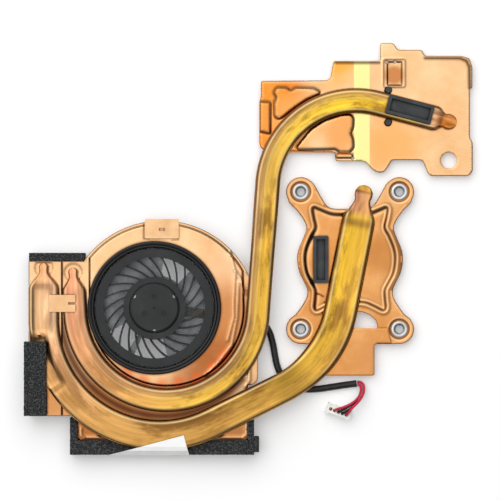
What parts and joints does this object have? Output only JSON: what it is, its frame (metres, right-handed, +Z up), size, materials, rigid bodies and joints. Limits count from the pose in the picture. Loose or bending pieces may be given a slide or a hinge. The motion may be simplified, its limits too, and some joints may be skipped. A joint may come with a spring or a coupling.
{
  "type": "laptop cooling fan heatsink",
  "caption": "Thin radial fan in a copper housing with finned exhausts, joined by flattened heat pipes to a processor plate and a graphics plate",
  "frame": {"origin": "centre of the processor contact face, which is also the centre of its four screws, on the resting plane", "axes": "+X from the fan to the graphics side, the long way; +Y towards the graphics plate; +Z up, out of the board"},
  "size_m": [0.1618, 0.1489, 0.0119],
  "materials": {
    "steel_base": "plain rolled steel sheet",
    "copper_cover": "pale bare copper sheet",
    "black_plastic": "glossy black",
    "impeller_plastic": "moulded dark grey",
    "steel": "drawn steel",
    "magnet": "bonded ferrite",
    "brass": "turned brass",
    "bronze": "sintered bronze",
    "nylon": "natural nylon",
    "lamination": "stamped electrical steel",
    "enamelled_wire": "enamelled copper wire",
    "board": "green laminate",
    "copper_fin": "thin copper sheet",
    "pipe_copper": "heat tinted copper tube",
    "plate_copper": "pressed copper sheet",
    "block_copper": "milled copper",
    "nickel": "bright nickel plate",
    "bright_copper": "bright copper sheet",
    "thermal_pad": "soft silicone pad",
    "rubber": "moulded rubber",
    "foam": "open cell foam",
    "sleeve_plastic": "thin woven and shrunk sleeve",
    "red_wire": "insulated wire",
    "black_wire": "insulated wire",
    "white_plastic": "moulded white",
    "tinned_brass": "stamped contacts",
    "paper": "bare white paper"
  },
  "bodies": {
    "frame": {"base_plate": "steel_base", "shroud": "copper_cover", "exhaust_cover": "copper_cover", "shroud_clip": "copper_cover", "inlet_ring": "black_plastic", "bearing_holder": "brass", "bearing_sleeve": "bronze", "thrust_pad": "nylon", "stator_core": "lamination", "stator_coils": "enamelled_wire", "motor_board": "board", "fins_left": "copper_fin", "fins_rear": "copper_fin", "heat_pipe_gpu": "pipe_copper", "heat_pipe_cpu": "pipe_copper", "pipe_clip": "copper_cover", "cpu_plate": "plate_copper", "cpu_block": "block_copper", "chipset_plate": "plate_copper", "screw_sleeve_front_left": "nickel", "screw_sleeve_front_right": "nickel", "screw_sleeve_rear_left": "nickel", "screw_sleeve_rear_right": "nickel", "gpu_plate": "bright_copper", "gpu_block": "block_copper", "memory_pads": "thermal_pad", "rubber_studs": "rubber", "rubber_block_gpu": "rubber", "rubber_block_cpu": "rubber", "foam_front": "foam", "foam_left": "foam", "foam_rear_left": "foam", "foam_rear_right": "foam", "cable_sleeve": "sleeve_plastic", "wire_red_left": "red_wire", "wire_black_left": "black_wire", "wire_black_right": "black_wire", "wire_red_right": "red_wire", "plug_housing": "white_plastic", "plug_contacts": "tinned_brass", "label": "paper"},
    "rotor": {"impeller": "impeller_plastic", "rotor_cup": "steel", "magnet_ring": "magnet", "shaft": "steel"}
  },
  "joints": [
    {"name": "impeller_spin", "type": "hinge", "parent": "frame", "child": "rotor", "pos_m": [-0.0706, -0.017, 0.004], "axis": [0, 0, 1], "continuous": true}
  ]
}
